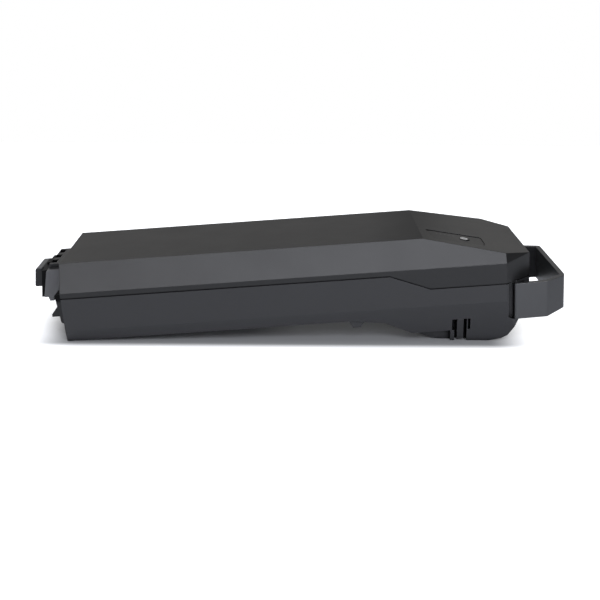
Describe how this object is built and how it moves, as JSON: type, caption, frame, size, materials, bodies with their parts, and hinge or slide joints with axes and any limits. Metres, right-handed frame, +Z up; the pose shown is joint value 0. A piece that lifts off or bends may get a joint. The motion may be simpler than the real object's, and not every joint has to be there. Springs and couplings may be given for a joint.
{
  "type": "rear rack e-bike battery",
  "caption": "Long bevelled battery case for a bicycle's rear carrier, with a plug end, a keel with side catches, a lit button panel and a swinging loop handle.",
  "frame": {"origin": "under the middle of the overall box, level with the rear edge of the sole of the keel, the lowest line of the pack", "axes": "+X along the case towards the handle, +Y across it, +Z up from the sole to the flat top"},
  "size_m": [0.461, 0.125, 0.0945],
  "materials": {
    "shell_plastic": "finely grained black moulding",
    "seal_rubber": "dull",
    "screw_steel": "zinc plated",
    "catch_plastic": "moulded",
    "handle_plastic": "fine grain, satin",
    "panel_plastic": "fine satin film",
    "button_plastic": "satin",
    "lamp_lens": "clear moulded",
    "board_laminate": "solder mask",
    "black_plastic": "moulded",
    "block_plastic": "moulded",
    "contact_brass": "plated",
    "flap_rubber": "dull",
    "cell_wrap": "shrink sleeve",
    "nickel": "rolled",
    "card": "insulating card",
    "sink_aluminium": "extruded",
    "fuse_plastic": "moulded",
    "lead_red": "insulated wire",
    "lead_black": "insulated wire",
    "foam": "closed cell foam"
  },
  "bodies": {
    "case": {"top_shell": "shell_plastic", "lower_shell": "shell_plastic", "shell_gasket": "seal_rubber", "case_screws": "screw_steel", "side_catches": "catch_plastic", "handle_pins": "screw_steel", "indicator_panel": "panel_plastic", "light_guide": "lamp_lens", "indicator_board": "board_laminate", "indicator_lamps": "lamp_lens", "button_switch": "black_plastic", "board_screws": "screw_steel", "connector_block": "block_plastic", "plug_nose": "black_plastic", "plug_contacts": "contact_brass", "end_plate": "black_plastic", "end_screws": "screw_steel", "charge_socket": "black_plastic", "charge_pin": "contact_brass", "cells": "cell_wrap", "cell_holders": "black_plastic", "nickel_strips": "nickel", "insulating_cards": "card", "control_tray": "black_plastic", "control_board": "board_laminate", "heat_sink": "sink_aluminium", "main_fuse": "fuse_plastic", "power_leads": "lead_red", "charge_leads": "lead_black", "signal_leads": "lead_black", "foam_pads": "foam"},
    "handle": {"handle": "handle_plastic"},
    "button": {"power_button": "button_plastic", "switch_plunger": "button_plastic"},
    "flap": {"charge_flap": "flap_rubber"}
  },
  "joints": [
    {"name": "handle_swing", "type": "hinge", "parent": "case", "child": "handle", "pos_m": [0.1955, 0, 0.047], "axis": [0, -1, 0], "range_deg": [0, 70]},
    {"name": "button_press", "type": "slide", "parent": "case", "child": "button", "axis": [-0.2198, 0, -0.9756], "range_m": [0, 0.0008], "stiffness_N_per_m": 800},
    {"name": "flap_swing", "type": "hinge", "parent": "case", "child": "flap", "pos_m": [-0.0075, 0.0615, 0.059], "axis": [1, 0, 0], "range_deg": [0, 100]}
  ]
}
